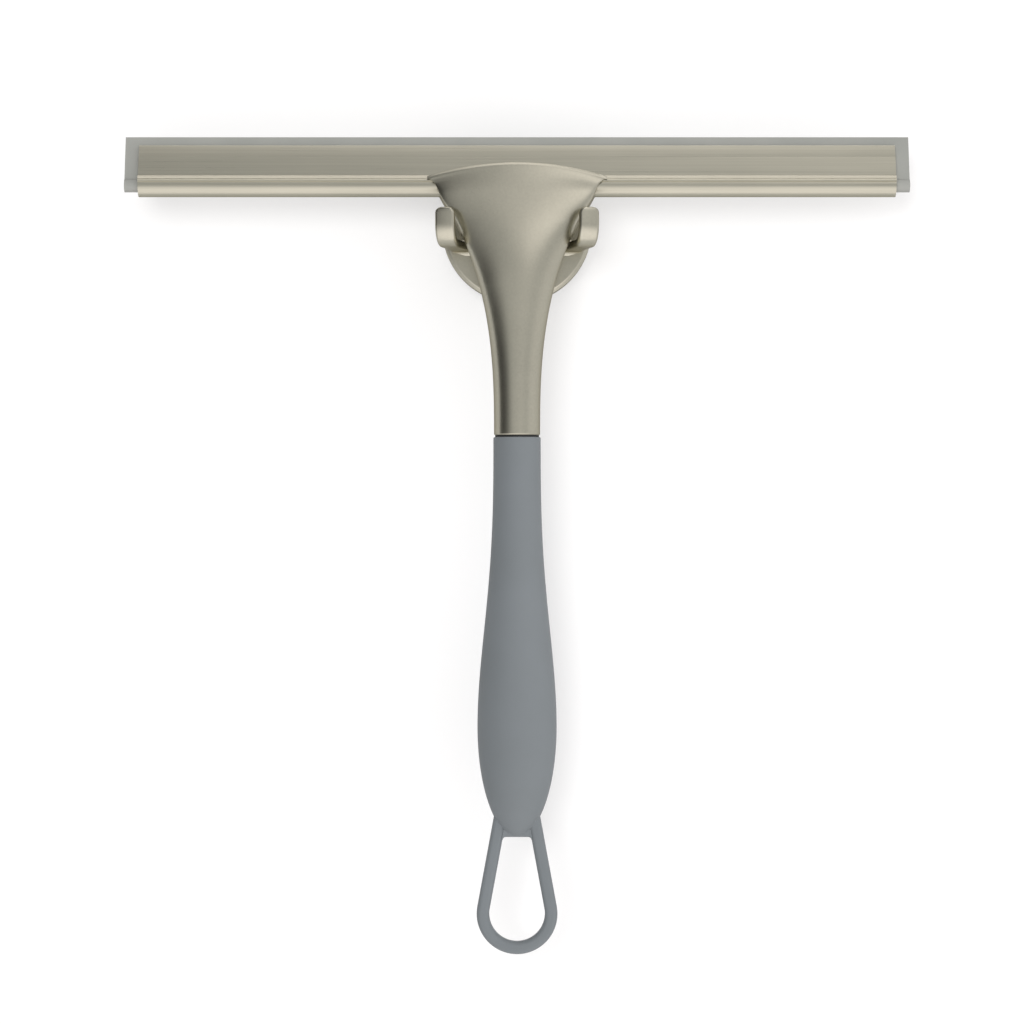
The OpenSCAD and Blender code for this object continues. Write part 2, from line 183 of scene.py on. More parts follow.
panel = room.ease(towards(0.31, -0.82, 0.48), 0.93, 0.995)
overhead = room.ease(towards(0.05, -0.05, 1.0), 0.90, 0.98)
side_fill = room.ease(towards(1.0, -0.1, 0.0), 0.72, 1.0)
floor_glow = room.ease(towards(0.05, -0.5, -0.86), 0.50, 0.93)
dim_side = room.ease(towards(-0.85, -0.22, 0.48), 0.53, 0.86)
glow = panel * 0.80 + overhead * 1.5 + floor_glow * 0.72 + side_fill * 0.2
kept = 1 - dim_side * 0.93
tinted = room.node("ShaderNodeCombineXYZ", inputs={
    axis: (glow * tint + ROOM) * kept for axis, tint in enumerate(GLOW_TINT)})
soft = room.node("ShaderNodeBackground", inputs={"Color": tinted, "Strength": 1.0})
white = room.node("ShaderNodeBackground", inputs={"Color": (1, 1, 1, 1), "Strength": 1.0})
seen = room.node("ShaderNodeLightPath")
surface = room.node("ShaderNodeMixShader", inputs={0: seen, 1: soft, 2: white})
room.node("ShaderNodeOutputWorld", inputs={0: surface})
print("room", ROOM)

# %% Sun and wall
SHADOW_SHIFT = (6.4, -4.4)
WALL_HALF = 2.0
WALL_GAP = 0.4 * MM
WALL_GLOW = 0.458
WALL_IN_METAL = 0.25


def add_sun(name, energy, spread, aim):
    light = bpy.data.lights.new(name, "SUN")
    light.energy = energy
    light.angle = math.radians(spread)
    lamp = bpy.data.objects.new(name, light)
    lamp.rotation_euler = Vector(aim).to_track_quat("-Z", "Y").to_euler()
    lamp.visible_glossy = False
    SCENE.collection.objects.link(lamp)


add_sun("key", 1.15, 24, (SHADOW_SHIFT[0], -HANDLE_Y, SHADOW_SHIFT[1]))
add_sun("side", 0.55, 60, (-1.0, 0.4, -0.1))
add_sun("behind", 1.3, 30, (-0.3, -1.0, -0.45))


def new_material(name):
    material = bpy.data.materials.new(name)
    material.use_nodes = True
    return material, Finish(material.node_tree)


def wall_finish():
    material, paint = new_material("wall_paint")
    grain = paint.node("ShaderNodeTexNoise", inputs={"Scale": 40.0, "Detail": 3.0})
    shade = paint.ease(grain, 0.2, 0.8, 0.54, 0.56)
    colour = paint.node("ShaderNodeCombineXYZ", inputs={0: shade, 1: shade, 2: shade})
    matt = paint.node("ShaderNodeBsdfDiffuse", inputs={"Color": colour})
    path = paint.node("ShaderNodeLightPath").socket.node.outputs
    mirrored_share = Value(paint, path["Is Glossy Ray"]) * WALL_IN_METAL
    direct = Value(paint, path["Is Camera Ray"]) + mirrored_share
    direct = direct + Value(paint, path["Is Transmission Ray"])
    lift = paint.node("ShaderNodeEmission", inputs={"Strength": direct * WALL_GLOW})
    lit = paint.node("ShaderNodeAddShader", inputs={0: matt, 1: lift})
    clear = paint.node("ShaderNodeBsdfTransparent")
    back = Value(paint, paint.node("ShaderNodeNewGeometry").socket.node.outputs["Backfacing"])
    mixed = paint.node("ShaderNodeMixShader", inputs={0: back, 1: lit, 2: clear})
    paint.node("ShaderNodeOutputMaterial", inputs={0: mixed})
    return material


def flat_wall():
    mesh = bpy.data.meshes.new("wall")
    half = WALL_HALF
    corners = [(-half, WALL_GAP, -half), (half, WALL_GAP, -half),
               (half, WALL_GAP, half), (-half, WALL_GAP, half)]
    mesh.from_pydata(corners, [], [(0, 1, 2, 3)])
    mesh.materials.append(wall_finish())
    wall = bpy.data.objects.new("wall", mesh)
    SCENE.collection.objects.link(wall)
    wall.visible_shadow = False
    return wall


wall = flat_wall()
print("wall", wall.data.polygons[0].normal[:])

# %% [markdown]
# ## Finishes
#
# Every finish starts from one principled shader. Only colour, roughness and the bump vary over
# a surface. The cast parts are bead-blasted and plated: a fine even grain with faint clouds in
# the sheen. The channel is drawn through a die, which leaves hairlines along its length.

# %% Shared parts of a finish
def principled(paint, colour, roughness, height=None, bump=0.0, relief=0.0, **constants):
    inputs = {"Base Color": colour, "Roughness": roughness}
    inputs.update({key.replace("_", " "): value for key, value in constants.items()})
    if height is not None:
        inputs["Normal"] = paint.node(
            "ShaderNodeBump", inputs={"Strength": bump, "Distance": relief, "Height": height})
    shader = paint.node("ShaderNodeBsdfPrincipled", inputs=inputs)
    paint.node("ShaderNodeOutputMaterial", inputs={0: shader})


def object_space(paint):
    return Value(paint, paint.node("ShaderNodeTexCoord").socket.node.outputs["Object"])


def noise(paint, where, scale, detail=2.0, rough=0.5):
    return paint.node("ShaderNodeTexNoise", inputs={
        "Vector": where, "Scale": scale, "Detail": detail, "Roughness": rough})


def tone(paint, value, dark, pale):
    """A colour between dark and pale; noise seldom leaves the stretch from 0.3 to 0.7."""
    return paint.node("ShaderNodeValToRGB", {"stops": [(0.3, dark), (0.7, pale)]}, {0: value})


# %% Metal finishes
# a darker tint at grazing angles keeps the edges of the metal from turning white
METAL_EDGE = (0.5, 0.48, 0.42, 1)


def blasted_nickel():
    material, paint = new_material("blasted_nickel")
    where = object_space(paint)
    grain = noise(paint, where, 2600.0, 2.0)
    clouds = noise(paint, where, 55.0, 3.0)
    fleck = noise(paint, where, 1300.0, 1.0)
    colour = tone(paint, clouds * 0.5 + fleck * 0.5, (0.500, 0.484, 0.400), (0.560, 0.542, 0.448))
    roughness = clouds * 0.06 + grain * 0.08 + 0.23
    principled(paint, colour, roughness, grain, 0.10, 0.00002, Metallic=1.0,
               Specular_Tint=METAL_EDGE)
    return material


def drawn_metal():
    material, paint = new_material("drawn_metal")
    where = paint.node("ShaderNodeMapping", inputs={
        "Vector": object_space(paint), "Scale": (12.0, 2200.0, 2200.0)})
    hairlines = noise(paint, where, 1.0, 3.0, 0.6)
    broad = noise(paint, object_space(paint), 30.0, 2.0)
    mixed = hairlines * 0.7 + broad * 0.3
    colour = tone(paint, mixed, (0.470, 0.456, 0.376), (0.560, 0.543, 0.450))
    roughness = hairlines * 0.14 + broad * 0.06 + 0.20
    principled(paint, colour, roughness, hairlines, 0.25, 0.00002, Metallic=1.0,
               Specular_Tint=METAL_EDGE)
    return material


def turned_steel():
    material, paint = new_material("turned_steel")
    where = object_space(paint)
    marks = noise(paint, where, 900.0, 3.0)
    colour = tone(paint, marks, (0.42, 0.42, 0.42), (0.58, 0.58, 0.58))
    principled(paint, colour, marks * 0.15 + 0.22, marks, 0.2, 0.00002, Metallic=1.0)
    return material


# %% Soft finishes
def soft_touch():
    material, paint = new_material("soft_touch")
    where = object_space(paint)
    grain = noise(paint, where, 2200.0, 2.0)
    clouds = noise(paint, where, 35.0, 3.0)
    colour = tone(paint, clouds * 0.8 + grain * 0.2, linear(114, 120, 123), linear(121, 127, 131))
    roughness = grain * 0.12 + clouds * 0.06 + 0.55
    principled(paint, colour, roughness, grain, 0.35, 0.00003, Sheen_Weight=0.08)
    return material


def blade_silicone():
    material, paint = new_material("blade_silicone")
    where = object_space(paint)
    clouds = noise(paint, where, 60.0, 3.0)
    grain = noise(paint, where, 1500.0, 2.0)
    colour = tone(paint, clouds, linear(152, 154, 149), linear(160, 161, 156))
    roughness = grain * 0.1 + clouds * 0.08 + 0.38
    principled(paint, colour, roughness, grain, 0.15, 0.00002)
    return material


# painted shade: the near-black colour of this finish stands in for the shadow in the thin groove
# between neck and grip, not for the colour of a rubber part
def dark_rubber():
    material, paint = new_material("dark_rubber")
    grain = noise(paint, object_space(paint), 1800.0, 2.0)
    colour = tone(paint, grain, (0.016, 0.016, 0.016), (0.028, 0.028, 0.027))
    principled(paint, colour, grain * 0.15 + 0.6, grain, 0.3, 0.00003)
    return material


def core_plastic():
    material, paint = new_material("core_plastic")
    grain = noise(paint, object_space(paint), 700.0, 3.0)
    colour = tone(paint, grain, linear(88, 90, 92), linear(98, 100, 102))
    principled(paint, colour, grain * 0.1 + 0.42, grain, 0.2, 0.00003)
    return material


def clear_vinyl():
    material, paint = new_material("clear_vinyl")
    where = object_space(paint)
    clouds = noise(paint, where, 90.0, 3.0)
    colour = tone(paint, clouds, linear(214, 219, 219), linear(228, 232, 231))
    principled(paint, colour, clouds * 0.1 + 0.12, clouds, 0.1, 0.0001,
               Transmission_Weight=0.55, IOR=1.45)
    return material


FINISHES = {
    "satin_nickel": blasted_nickel(), "brushed_channel": drawn_metal(),
    "bright_steel": turned_steel(), "blade_rubber": blade_silicone(),
    # dark_rubber is painted shade: near-black for the shadowed groove between neck and grip
    "soft_grip": soft_touch(), "dark_rubber": dark_rubber(),
    "core_plastic": core_plastic(), "clear_soft": clear_vinyl(),
}
print("finishes", len(FINISHES))

# %% [markdown]
# ## From points to a finished piece
#
# A piece is a mesh with its place in its points. One helper closes it, points its faces
# outwards, marks the edges that are really sharp, gives it its finish and lets it ride on its
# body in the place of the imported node.

# %% Piece helpers
SLOT_OF = {part["node"]: part["material_slot"] for part in frame["record"]["subparts"]}
BODY_OF = {node: body for body, nodes in frame["record"]["behaviour"]["bodies"].items()
           for node in nodes}


def make_mesh(name, points, faces):
    mesh = bpy.data.meshes.new(name)
    mesh.from_pydata([tuple(Vector(p) * MM) for p in points], [], faces)
    return mesh


def settle(mesh, sharp=40.0, merge=0.0004):
    """Merges doubles, turns faces outwards, smooths all but edges sharper than `sharp` degrees."""
    work = bmesh.new()
    work.from_mesh(mesh)
    bmesh.ops.remove_doubles(work, verts=work.verts, dist=merge * MM)
    bmesh.ops.recalc_face_normals(work, faces=work.faces)
    for face in work.faces:
        face.smooth = True
    for edge in work.edges:
        edge.smooth = len(edge.link_faces) == 2 and edge.calc_face_angle(0) < math.radians(sharp)
    work.to_mesh(mesh)
    work.free()
    mesh.update()


def place(name, mesh, node, sharp=40.0):
    """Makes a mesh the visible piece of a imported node: its finish, its body and its slot."""
    settle(mesh, sharp)
    slot = SLOT_OF[node]
    mesh.materials.clear()
    mesh.materials.append(FINISHES[slot])
    piece = bpy.data.objects.new(name, mesh)
    SCENE.collection.objects.link(piece)
    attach(piece, BODY_OF[node])
    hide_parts(node)
    print(name, len(mesh.polygons), "faces, closed:", is_closed(mesh))


def is_closed(mesh):
    counts = {}
    for polygon in mesh.polygons:
        for key in polygon.edge_keys:
            counts[key] = counts.get(key, 0) + 1
    return all(count == 2 for count in counts.values())


def loft(rings):
    """A closed skin through rings of points that all have the same number of points."""
    around = len(rings[0])
    points = [tuple(p) for ring in rings for p in ring]
    faces = []
    for row in range(len(rings) - 1):
        for i in range(around):
            a, b = row * around + i, row * around + (i + 1) % around
            faces.append((a, b, b + around, a + around))
    faces.append(tuple(reversed(range(around))))
    faces.append(tuple(range((len(rings) - 1) * around, len(rings) * around)))
    return points, faces


# %% [markdown]
# ## The neck
#
# The neck is one casting. Its section starts as the oval of the grip, widens into a squarish fan
# and leans back towards the wall. Behind the fan the casting is cut away for the rear clamp, and
# above that only its front wall goes on, over the channel, to an arched lip with two pointed
# tips. That is a rule, so the skin is a loft: each ring is the section at one height, and the
# cuts are rings whose points are held at the cut. Extra rings round every edge.

# %% Sizes of the head, in millimetres
LEAN = math.radians(15)
BEND_RUN = 10.0
neck_low, neck_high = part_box("neck")
collar_low, collar_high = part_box("neck_collar")
COLLAR_INSET = 0.35
FOOT_Z = neck_low.z / MM
FOOT_HALF = (collar_high.x - collar_low.x) / 2 / MM + COLLAR_INSET
FOOT_DEPTH = (collar_high.y - collar_low.y) / 2 / MM + COLLAR_INSET
LIP_HALF = (neck_high.x - neck_low.x) / 2 / MM
NECK_LEN = 57.5
BEND_Z = FOOT_Z + NECK_LEN
HEAD_DEPTH = 7.5
SHOULDER_HALF = 27.5
SEAT = 19.3
SHOULDER_S = SEAT + 4.9
SLOT_FLOOR = SEAT - 1.0
SLOT_HALF = 4.5
CLAMP_LOW = 8.5
LIP_TOP = SEAT + 8.9
LIP_RISE = 3.8
LIP_EDGE = 0.5
HOLLOW_DROP = 2.3
TIP_DROP = 0.2
CHEEK_FULL = 0.9
BEVEL = 0.9
BEVEL_SLOPE = 0.55
FLARE_POWER = 2.7
ARCH_R = (LIP_HALF ** 2 + LIP_RISE ** 2) / (2 * LIP_RISE)
print("neck foot", round(FOOT_HALF, 2), "x", round(FOOT_DEPTH, 2), "lip", round(LIP_HALF, 2))


def neck_share(s):
    return max(0.0, (s + NECK_LEN) / (SHOULDER_S + NECK_LEN))


def bump(value, low, high):
    """Rises from 0 at low to 1 half way and back to 0 at high."""
    share = min(1.0, max(0.0, (value - low) / (high - low)))
    return math.sin(math.pi * share) ** 2


def smooth(value, low, high):
    share = min(1.0, max(0.0, (value - low) / (high - low)))
    return share * share * (3 - 2 * share)


def neck_half(s):
    flare = FOOT_HALF + (SHOULDER_HALF - FOOT_HALF) * neck_share(s) ** FLARE_POWER
    return flare + CHEEK_FULL * bump(s, 9, 24)


def neck_spine(s):
    """Centre of the neck at s above the bend, and how far it leans there."""
    if s <= -BEND_RUN:
        return HANDLE_Y, BEND_Z + s, 0.0
    if s >= BEND_RUN:
        return HANDLE_Y + s * math.sin(LEAN), BEND_Z + s * math.cos(LEAN), LEAN
    turn = LEAN * (s + BEND_RUN) / (2 * BEND_RUN)
    radius = BEND_RUN / math.tan(LEAN / 2)
    return (HANDLE_Y + radius * (1 - math.cos(turn)),
            BEND_Z - BEND_RUN + radius * math.sin(turn), turn)


def neck_point(x, depth, s):
    y, z, turn = neck_spine(s)
    return x, y + depth * math.cos(turn), z - depth * math.sin(turn)


# %% Neck rings
AROUND = 160
EDGE = 0.4
CHEEK = 0.93
BOW_DONE = 0.8


def section(half, front, back, powers, middle=0.0, inset=0.0):
    """Points [x, depth] of a rounded section; its widest place is at the depth `middle`."""
    points = []
    for i in range(AROUND):
        turn = -2 * math.pi * (i + 0.5) / AROUND
        c, s = math.cos(turn), math.sin(turn)
        reach, power = (front, powers[0]) if s < 0 else (back, powers[1])
        points.append([math.copysign(abs(c) ** (2 / power), c) * (half - inset),
                       middle + math.copysign(abs(s) ** (2 / power), s) * (reach - inset)])
    return points


def body_depth(s):
    return FOOT_DEPTH + (HEAD_DEPTH - FOOT_DEPTH) * neck_share(s) ** 2


def body_power(s):
    return 2 + 0.25 * neck_share(s) ** 3


def body_section(s, inset=0.0):
    """Low down an even oval; higher up its widest place moves forward to the wall's back."""
    depth = body_depth(s)
    middle = -(SLOT_HALF + LIP_EDGE) * smooth(s, -8, SLOT_FLOOR)
    powers = (body_power(s), 2 + 2.2 * neck_share(s) ** 3)
    return section(neck_half(s), depth + middle, depth - middle, powers, middle, inset)


def body_ring(s, inset=0.0, back=None):
    ring = body_section(s, inset)
    if back is not None:
        ring = [[x, min(d, back)] for x, d in ring]
    return [neck_point(x, d, s) for x, d in ring]


def wall_half(height):
    """Half width of the front wall at a height on its side: shoulder, hollow, pointed tip."""
    hollow, tip = LIP_TOP - LIP_RISE - HOLLOW_DROP, LIP_TOP - LIP_RISE - TIP_DROP
    rise = smooth(height, hollow - 1.2, tip + 2.2) * 2
    return neck_half(min(height, hollow)) + (LIP_HALF - neck_half(hollow)) * min(1, rise) ** 1.3


def wall_ring(share, inset=0.0, down=0.0):
    """The front wall at a share of its height; inset and down shape the bevel of its top edge."""
    half = wall_half(SLOT_FLOOR + share * (LIP_TOP - LIP_RISE - SLOT_FLOOR))
    middle = -(SLOT_HALF + LIP_EDGE)
    depth = HEAD_DEPTH + (body_depth(SLOT_FLOOR) - HEAD_DEPTH) * (1 - share)
    arched = smooth(share, 0, BOW_DONE)
    ring = []
    for x, d in section(half, depth + middle, HEAD_DEPTH, (body_power(SLOT_FLOOR), 5), middle):
        if d > -SLOT_HALF:
            x, d = math.copysign(half, x) if abs(x) > half * CHEEK else x, -SLOT_HALF
        else:
            if d < middle:
                bow = middle - (depth + middle) * (1 - (x / half) ** 2)
                d += (bow - d) * arched
            d += min(inset, 0.55 * (-SLOT_HALF - d))
        crown = LIP_TOP - ARCH_R * (1 - math.cos(math.asin(x / ARCH_R)))
        height = SLOT_FLOOR + share * (crown - SLOT_FLOOR) - down
        ring.append(neck_point(x, d, height))
    return ring


def neck_rings():
    rings = [body_ring(-NECK_LEN, EDGE), body_ring(-NECK_LEN + 0.12, EDGE * 0.35),
             body_ring(-NECK_LEN + EDGE, 0.0)]
    rings += [body_ring(s) for s in np.linspace(-NECK_LEN + 1.2, CLAMP_LOW - 0.5, 84)]
    rings += [body_ring(CLAMP_LOW - 0.25), body_ring(CLAMP_LOW)]
    rings += [body_ring(CLAMP_LOW, back=SLOT_HALF)]
    rings += [body_ring(s, back=SLOT_HALF) for s in np.linspace(CLAMP_LOW + 0.3, SLOT_FLOOR, 12)]
    rings += [wall_ring(share) for share in np.linspace(0.0, 0.9, 30)]
    for down in (1.3, BEVEL, BEVEL * 0.5, 0.06, 0.0):
        inset = max(0.0, BEVEL - down) * BEVEL_SLOPE + (0.05 if down == 0 else 0)
        rings.append(wall_ring(1.0, inset, down))
    return rings


neck_mesh = make_mesh("neck_casting", *loft(neck_rings()))
place("neck_casting", neck_mesh, "neck", sharp=22)

# %% [markdown]
# ## Blade and channel
#
# Both are stock cut to length: one section, drawn straight along the head. A small Geometry
# Nodes tree does that. The object's own mesh is the outline of the section, and the tree turns
# it into a curve, sweeps it along a line of the wanted length and closes the ends.

# %% Draw a section along a line
def new_tree(name, inputs):
    tree = bpy.data.node_groups.new(name, "GeometryNodeTree")
    tree.interface.new_socket("Geometry", in_out="INPUT", socket_type="NodeSocketGeometry")
    for label, kind, default in inputs:
        socket = tree.interface.new_socket(label, in_out="INPUT", socket_type=kind)
        if default is not None:
            socket.default_value = default
    tree.interface.new_socket("Geometry", in_out="OUTPUT", socket_type="NodeSocketGeometry")
    return tree, Finish(tree)


def tree_input(build, label):
    source = build.tree.nodes.get("Group Input") or build.tree.nodes.new("NodeGroupInput")
    return Value(build, source.outputs[label])


def end_tree(build, geometry):
    """Every tree ends with real geometry that carries its material."""
    real = build.node("GeometryNodeRealizeInstances", inputs={0: geometry})
    painted = build.node("GeometryNodeSetMaterial", inputs={
        "Geometry": real, "Material": tree_input(build, "Material")})
    build.node("NodeGroupOutput", inputs={0: painted})


def drawn_section_tree():
    tree, build = new_tree("drawn_section", [
        ("Length", "NodeSocketFloat", 0.1), ("Material", "NodeSocketMaterial", None)])
    length = tree_input(build, "Length")
    start = build.node("ShaderNodeCombineXYZ", inputs={0: length * -0.5})
    end = build.node("ShaderNodeCombineXYZ", inputs={0: length * 0.5})
    line = build.node("GeometryNodeCurvePrimitiveLine", inputs={"Start": start, "End": end})
    line = build.node("GeometryNodeResampleCurve", inputs={"Curve": line, "Count": 41})
    upright = build.node("GeometryNodeSetCurveNormal", {"mode": "Z_UP"}, {"Curve": line})
    outline = build.node("GeometryNodeMeshToCurve", inputs={
        "Mesh": tree_input(build, "Geometry")})
    bar = build.node("GeometryNodeCurveToMesh", inputs={
        "Curve": upright, "Profile Curve": outline, "Fill Caps": True})
    end_tree(build, bar)
    return tree


def run_tree(name, mesh, tree, settings):
    """Runs a tree on a mesh and returns the result as a plain mesh."""
    carrier = bpy.data.objects.new(name, mesh)
    SCENE.collection.objects.link(carrier)
    modifier = carrier.modifiers.new("build", "NODES")
    modifier.node_group = tree
    for item in tree.interface.items_tree:
        if item.in_out == "INPUT" and item.name in settings:
            modifier[item.identifier] = settings[item.name]
    bpy.context.view_layer.update()
    evaluated = carrier.evaluated_get(bpy.context.evaluated_depsgraph_get())
    result = bpy.data.meshes.new_from_object(evaluated)
    carrier.modifiers.remove(modifier)
    bpy.data.objects.remove(carrier)
    return result


def head_place(mesh):
    """Moves a mesh drawn in the head's own frame to its place on the leaning head."""
    for vertex in mesh.vertices:
        x, depth, height = vertex.co / MM
        vertex.co = Vector(neck_from_head(x, depth, height)) * MM


def neck_from_head(x, depth, height):
    return (x, HANDLE_Y + depth * math.cos(LEAN) + height * math.sin(LEAN),
            BEND_Z - depth * math.sin(LEAN) + height * math.cos(LEAN))


# %% Outlines of blade and channel
BEAD_D = 4.3
BLADE_T = 2.4
BLADE_GAP = 0.2
FOOT_WALL = 1.3
BEAD_Z = SEAT + FOOT_WALL + BLADE_GAP + BEAD_D / 2
BLADE_TOP = BEAD_Z - BEAD_D / 2 + 18.2
CHANNEL_H = 16.5
CREASE_H = 12.2
RIDGE_DEPTH = 4.3
RIDGE_LOW = 3.5
RIDGE_HIGH = 5.6


def arc(centre, radius, start, end, steps):
    """Points on an arc, with angles in degrees from the front-to-back axis."""
    return [(centre[0] + radius * math.cos(a), centre[1] + radius * math.sin(a))
            for a in np.radians(np.linspace(start, end, steps))]


def rounded(corners, radii, steps=5):
    """A run of points with each inner corner rounded by its radius."""
    points = [corners[0]]
    for before, corner, after, radius in zip(corners, corners[1:], corners[2:], radii):
        a = np.subtract(before, corner)
        b = np.subtract(after, corner)
        a, b = a / np.linalg.norm(a), b / np.linalg.norm(b)
        half = math.acos(max(-1, min(1, float(a @ b)))) / 2
        cut = radius / math.tan(half)
        start, end = np.array(corner) + a * cut, np.array(corner) + b * cut
        for share in np.linspace(0, 1, steps):
            towards_corner = (1 - share) ** 2 * start + 2 * share * (1 - share) * np.array(corner)
            points.append(tuple(towards_corner + share ** 2 * end))
    return points + [corners[-1]]


def mirrored(half):
    """A closed outline from its front half."""
    return half + [(-d, z) for d, z in reversed(half)]


def outline_mesh(name, outline):
    count = len(outline)
    mesh = bpy.data.meshes.new(name)
    # on a line along X the sweep turns an outline's Y downwards
    mesh.from_pydata([(d * MM, -z * MM, 0) for d, z in outline],
                     [(i, (i + 1) % count) for i in range(count)], [])
    return mesh


def blade_outline():
    half_t = BLADE_T / 2
    shoulder = math.degrees(math.asin(half_t / (BEAD_D / 2)))
    bead = arc((0, BEAD_Z), BEAD_D / 2, -90, 90 - shoulder, 20)
    tip = rounded([(half_t, BEAD_Z + 2), (half_t, BLADE_TOP), (0, BLADE_TOP)], [0.12])
    return mirrored([(0.01, BEAD_Z - BEAD_D / 2)] + bead[1:] + tip[:-1])


def channel_front():
    """The front half of the channel's section: up its outer side, then down into its well."""
    foot_r = BEAD_D / 2 + BLADE_GAP + FOOT_WALL
    slot_half = BLADE_T / 2 + BLADE_GAP
    inner_r = BEAD_D / 2 + BLADE_GAP
    ridge, low, high = RIDGE_DEPTH, SEAT + RIDGE_LOW, SEAT + RIDGE_HIGH
    foot = arc((0, SEAT + foot_r), foot_r, -89.7, -6, 26)
    flank = rounded([
        foot[-1], (ridge - 0.65, low + 0.05), (ridge - 0.1, low + 0.15), (ridge, low + 0.55),
        (ridge - 0.36, low + 1.18), (ridge, low + 1.62), (ridge - 0.26, high), (3.3, high + 0.3),
        (3.05, SEAT + CREASE_H), (2.3, SEAT + CHANNEL_H), (slot_half, SEAT + CHANNEL_H),
        (slot_half, BEAD_Z + 2)],
        [0.15, 0.15, 0.12, 0.08, 0.12, 0.12, 0.12, 0.25, 0.22, 0.12])
    mouth = math.degrees(math.asin(slot_half / inner_r))
    well = arc((0, BEAD_Z), inner_r, 90 - mouth, -89.7, 18)
    return foot[1:] + flank[1:-1] + well


# %% Make the blade and the channel
def bar_piece(name, node, outline):
    low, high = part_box(node)
    mesh = run_tree(name, outline_mesh(name, outline), DRAWN, {
        "Length": high.x - low.x, "Material": FINISHES[SLOT_OF[node]]})
    head_place(mesh)
    place(name, mesh, node, sharp=30)


DRAWN = drawn_section_tree()
bar_piece("blade", "wiper_blade", blade_outline())
bar_piece("channel", "blade_channel", mirrored(channel_front()))

# %% [markdown]
# ## The grip
#
# The grip is a soft skin moulded over a rigid core. Its outline is slim under the neck, swells
# towards the palm and ends in half an ellipse. The rings follow that rule, closer together
# towards the rounded end, with a small radius round its upper rim.

# %% Grip
GRIP_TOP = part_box("grip_sleeve")[1].z / MM
GRIP_LEN = 126.6
GRIP_END = GRIP_TOP - GRIP_LEN
SWELL_END = 34.8
SWELL_Z = GRIP_END + SWELL_END
SWELL_HALF = 12.55
SWELL_DEPTH = 10.5
GRIP_HALF = FOOT_HALF + 0.2
GRIP_DEPTH = FOOT_DEPTH + 0.2


def swell(z):
    if z < SWELL_Z:
        return math.sqrt(max(0.0, 1 - ((SWELL_Z - z) / SWELL_END) ** 2))
    return (1 - math.cos(math.pi * ((GRIP_TOP - z) / (GRIP_TOP - SWELL_Z)) ** 1.45)) / 2


def grip_size(z, top, widest):
    return widest * swell(z) if z < SWELL_Z else top + (widest - top) * swell(z)


def oval(half, depth, z, around=128):
    return [(half * math.cos(a), HANDLE_Y + depth * math.sin(a), z)
            for a in np.linspace(0, 2 * math.pi, around, endpoint=False)]


def grip_rings():
    rings = []
    for turn in np.linspace(math.pi / 2 - 0.02, 0, 40, endpoint=False):
        z = SWELL_Z - SWELL_END * math.sin(turn)
        rings.append(oval(SWELL_HALF * math.cos(turn), SWELL_DEPTH * math.cos(turn), z))
    for z in np.linspace(SWELL_Z, GRIP_TOP - EDGE, 90):
        rings.append(oval(grip_size(z, GRIP_HALF, SWELL_HALF),
                          grip_size(z, GRIP_DEPTH, SWELL_DEPTH), z))
    for turn in np.linspace(0.3, math.pi / 2, 5):
        inset = EDGE * (1 - math.cos(turn))
        rings.append(oval(GRIP_HALF - inset, GRIP_DEPTH - inset,
                          GRIP_TOP - EDGE + EDGE * math.sin(turn)))
    return rings


place("grip_skin", make_mesh("grip_skin", *loft(grip_rings())), "grip_sleeve", sharp=50)

# %% [markdown]
# ## The hanging loop
#
# The loop is one flat strand that runs down, round and up again, like a drop. That is a path
# with one section, so a second tree sweeps a rounded rectangle along it. The path is the
# object's own mesh, and the strand's width, thickness and corner radius are inputs.

# %% Sweep a strand along a path
def strand_tree():
    tree, build = new_tree("strand", [
        ("Width", "NodeSocketFloat", 0.004), ("Thickness", "NodeSocketFloat", 0.004),
        ("Corner", "NodeSocketFloat", 0.001), ("Material", "NodeSocketMaterial", None)])
    path = build.node("GeometryNodeMeshToCurve", inputs={"Mesh": tree_input(build, "Geometry")})
    path = build.node("GeometryNodeSetCurveNormal", {"mode": "FREE"}, {
        "Curve": path, "Normal": (0.0, 1.0, 0.0)})
    box = build.node("GeometryNodeCurvePrimitiveQuadrilateral", inputs={
        "Width": tree_input(build, "Thickness"), "Height": tree_input(build, "Width")})
    box = build.node("GeometryNodeFilletCurve", {"mode": "POLY"}, {
        "Curve": box, "Radius": tree_input(build, "Corner"), "Count": 6})
    strand = build.node("GeometryNodeCurveToMesh", inputs={
        "Curve": path, "Profile Curve": box, "Fill Caps": True})
    end_tree(build, strand)
    return tree


loop_low, loop_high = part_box("hang_loop")
STRAND_W = 4.0
LOOP_R = (loop_high.x - loop_low.x) / 2 / MM
LOOP_Z = loop_low.z / MM + LOOP_R
LOOP_T = 4.6
LOOP_CORNER = 1.35
LOOP_NECK = 5.9
LOOP_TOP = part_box("handle_core")[0].z / MM


def loop_path():
    rise = LOOP_TOP - LOOP_Z
    touch = math.atan2(rise, LOOP_NECK) - math.acos(LOOP_R / math.hypot(LOOP_NECK, rise))
    middle = LOOP_R - STRAND_W / 2
    top_x = LOOP_NECK - STRAND_W / 2 / math.cos(touch)
    left = [(-top_x, rise - 0.2)]
    sides = np.linspace(0, 1, 12)[1:]
    foot = (-middle * math.cos(touch), middle * math.sin(touch))
    left += [tuple(np.array(left[0]) * (1 - u) + np.array(foot) * u) for u in sides]
    turns = np.linspace(math.pi - touch, 2 * math.pi + touch, 60)[1:-1]
    round_end = [(middle * math.cos(a), middle * math.sin(a)) for a in turns]
    right = [(-x, z) for x, z in reversed(left)]
    return [(x, HANDLE_Y, LOOP_Z + z) for x, z in left + round_end + right]


def path_mesh(name, points):
    mesh = bpy.data.meshes.new(name)
    mesh.from_pydata([tuple(Vector(p) * MM) for p in points],
                     [(i, i + 1) for i in range(len(points) - 1)], [])
    return mesh


